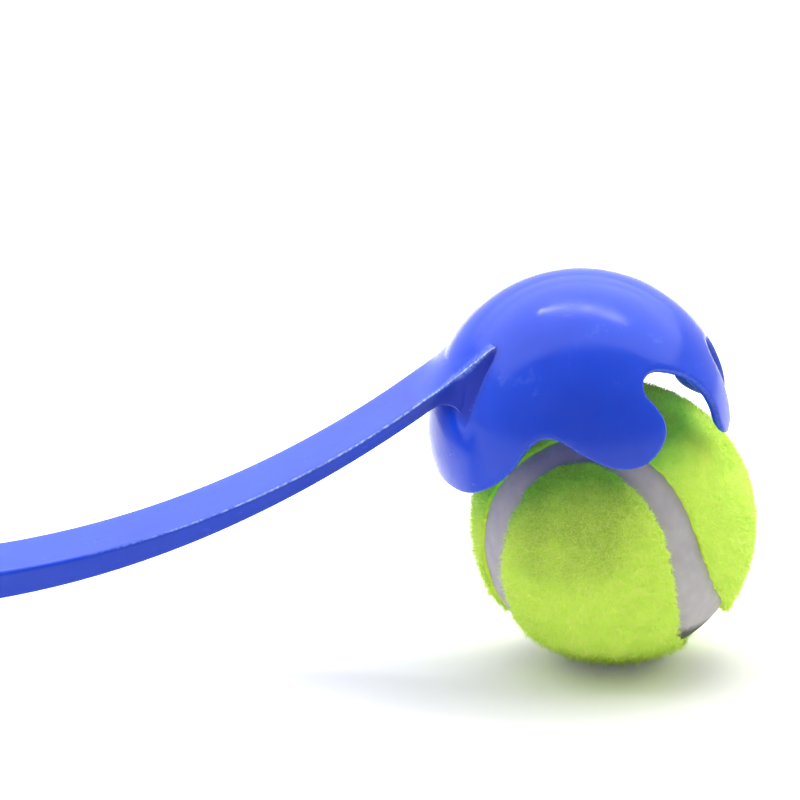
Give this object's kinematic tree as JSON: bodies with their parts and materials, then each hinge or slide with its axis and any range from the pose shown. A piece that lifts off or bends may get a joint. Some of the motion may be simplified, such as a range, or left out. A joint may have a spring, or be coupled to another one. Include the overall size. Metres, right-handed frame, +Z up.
{
  "type": "ball launcher",
  "caption": "Throwing arm with a lobed cup on its end that snaps over a felt-covered ball, and a grip with finger grooves and a hang hole at the other end.",
  "frame": {"origin": "middle of the whole part's box in X and Y, on the floor that the ball and the heel of the grip rest on", "axes": "+X from the grip to the cup, +Z up, and the arm's middle plane is y = 0; the picture looks along +Y"},
  "size_m": [0.453, 0.0676, 0.0892],
  "materials": {
    "launcher_plastic": "smooth gloss, moulded in blue",
    "core_rubber": "matt moulded rubber",
    "ball_felt": "woolly brushed nap, yellow-green",
    "seam_rubber": "smooth matt, grey-lilac"
  },
  "bodies": {
    "launcher": {"launcher_moulding": "launcher_plastic"},
    "ball": {"core_half_a": "core_rubber", "core_half_b": "core_rubber", "felt_panel_a": "ball_felt", "felt_panel_b": "ball_felt", "seam_strip": "seam_rubber"}
  },
  "joints": [
    {"name": "ball_slide", "type": "slide", "parent": "launcher", "child": "ball", "axis": [0.3074, 0, -0.9516], "range_m": [-0.0251, 0.045]}
  ]
}
